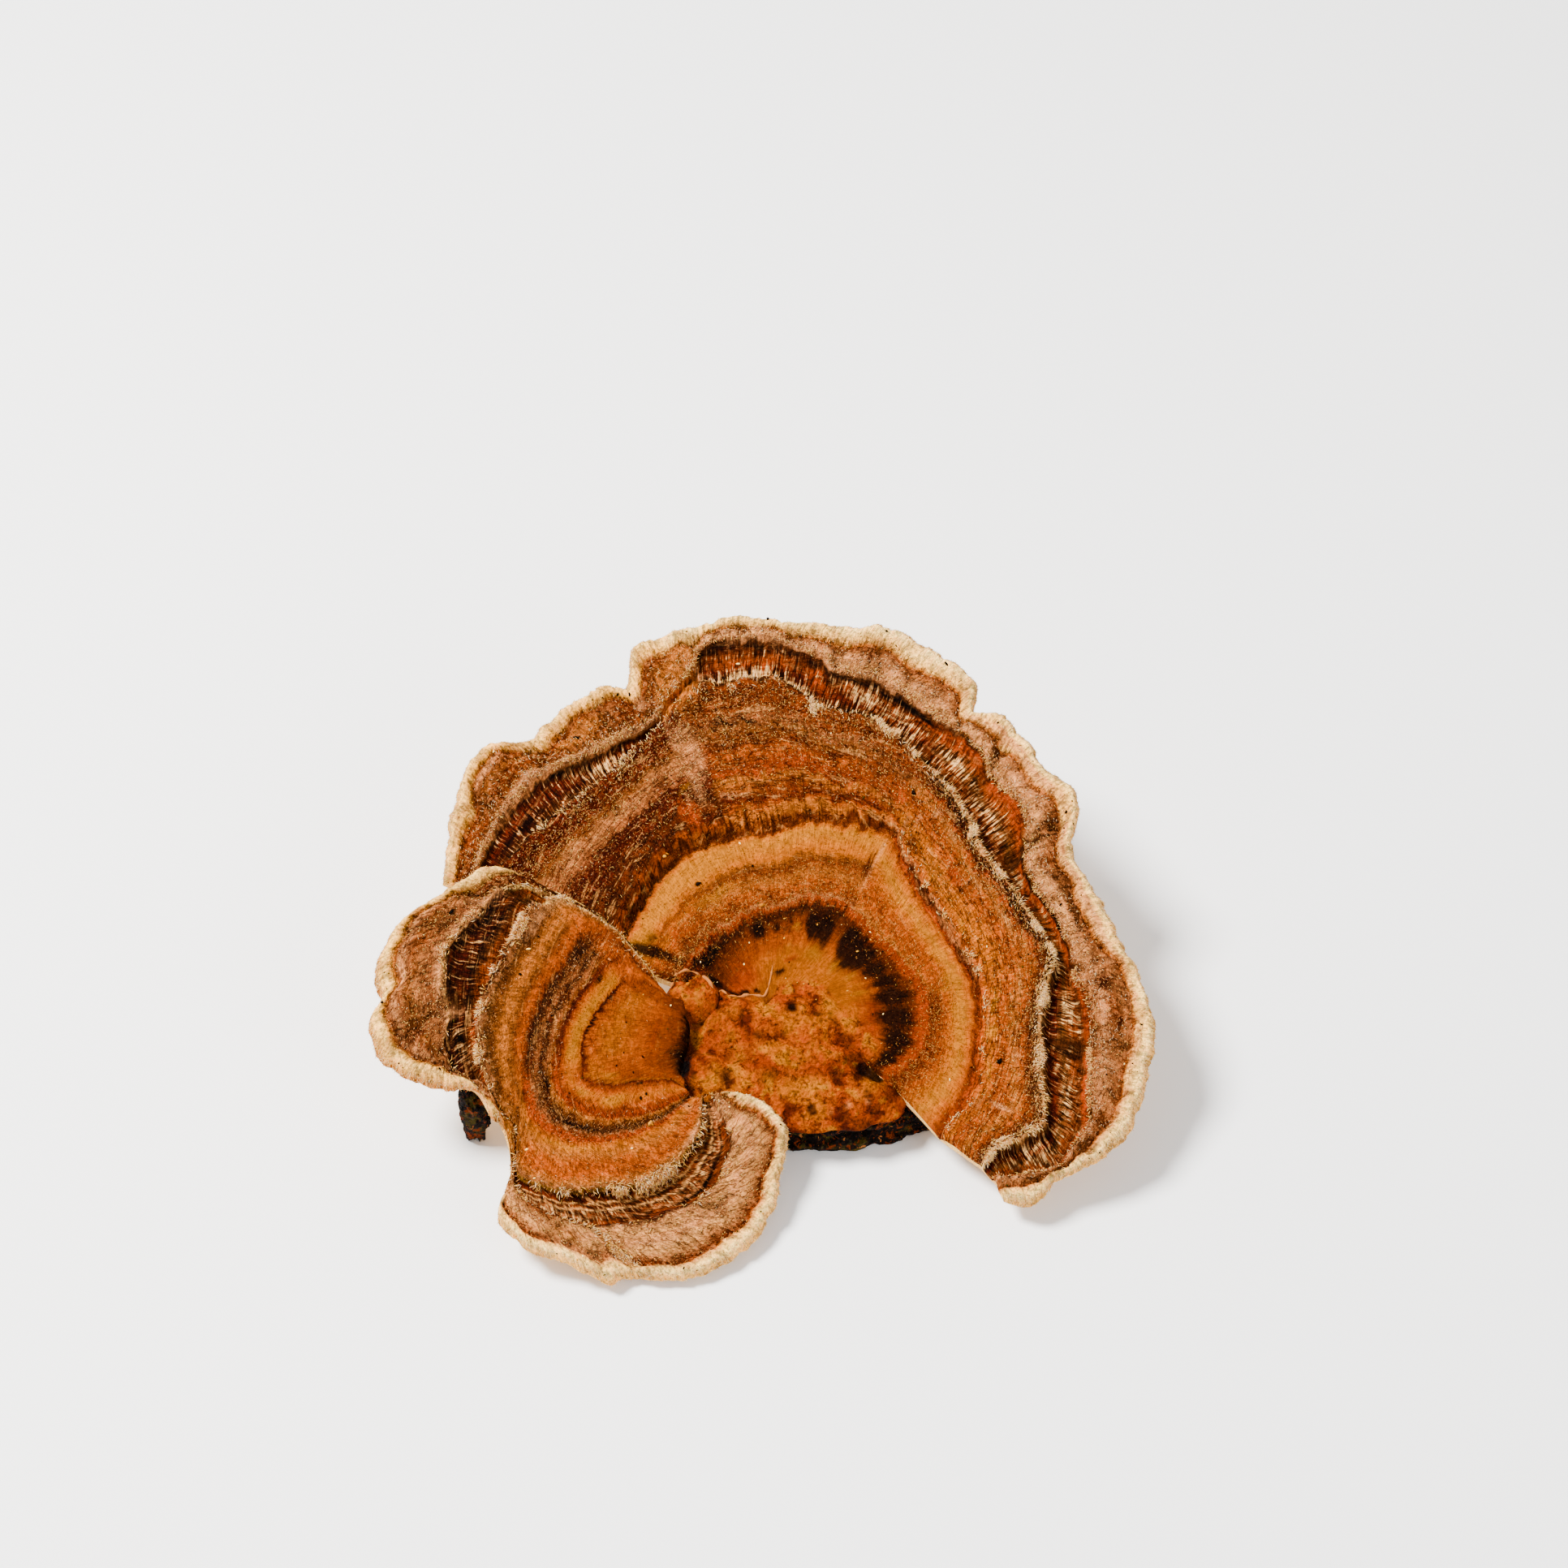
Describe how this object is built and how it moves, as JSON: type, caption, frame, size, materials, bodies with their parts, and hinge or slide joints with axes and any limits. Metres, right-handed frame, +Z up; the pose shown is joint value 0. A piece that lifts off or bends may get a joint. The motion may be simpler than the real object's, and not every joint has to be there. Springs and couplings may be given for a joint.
{
  "type": "turkey tail fungus",
  "caption": "Picked bracket fungus: a broad banded fan and a smaller fan forking from a lumpy hub, resting on the flat underside of the bark chip that it grew on.",
  "frame": {"origin": "on the surface that the fungus rests on, straight below the growth centre of the large fan", "axes": "+Z up, +Y from the hub towards the back of the large fan, +X towards its right side"},
  "size_m": [0.1038, 0.0848, 0.0385],
  "materials": {
    "banded_tissue": "velvety, in concentric bands from cream rim to orange and dark red-brown",
    "mossy_bark": "rough, dark and partly mossy"
  },
  "bodies": {
    "root": {"main_cap": "banded_tissue", "side_cap": "banded_tissue", "bark": "mossy_bark", "bark_crumb": "mossy_bark"}
  },
  "joints": []
}
